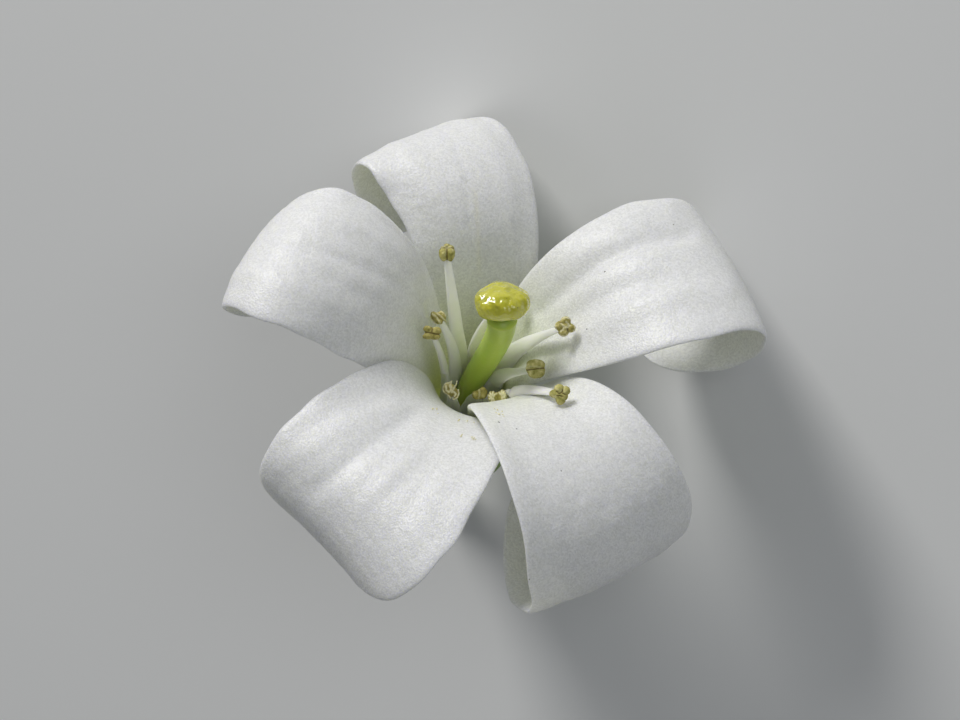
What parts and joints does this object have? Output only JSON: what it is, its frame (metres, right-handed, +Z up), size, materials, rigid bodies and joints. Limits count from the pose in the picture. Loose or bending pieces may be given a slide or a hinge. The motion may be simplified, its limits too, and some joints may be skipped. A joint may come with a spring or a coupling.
{
  "type": "murraya flower",
  "caption": "Open white star-shaped flower as picked, with rolled-back petals around slender stamens and a thick green style, lying on its petals and short stalk.",
  "frame": {"origin": "centre of the footprint on the surface that the flower lies on", "axes": "+Z up from the surface; the flower leans so that the picture's side, with the stigma and stamens, faces up and towards -Y, and the cut end of the stalk is on the +Y side"},
  "size_m": [0.0178, 0.0182, 0.0166],
  "materials": {
    "petal": "soft white petal skin with a faint satin sheen, greener towards the base",
    "filament": "smooth, slightly see-through greenish white",
    "anther": "matt khaki, powdery",
    "style": "satin yellow-green",
    "stigma": "wet, sticky gloss",
    "stalk": "matt green skin",
    "calyx": "matt green skin"
  },
  "bodies": {
    "root": {"petal_1": "petal", "petal_2": "petal", "petal_3": "petal", "petal_4": "petal", "petal_5": "petal", "filament_1": "filament", "filament_2": "filament", "filament_3": "filament", "filament_4": "filament", "filament_5": "filament", "filament_6": "filament", "filament_7": "filament", "filament_8": "filament", "filament_9": "filament", "filament_10": "filament", "anther_1": "anther", "anther_2": "anther", "anther_3": "anther", "anther_4": "anther", "anther_5": "anther", "anther_6": "anther", "anther_7": "anther", "anther_8": "anther", "anther_9": "anther", "anther_10": "anther", "style": "style", "stigma": "stigma", "stalk": "stalk", "calyx": "calyx"}
  },
  "joints": []
}
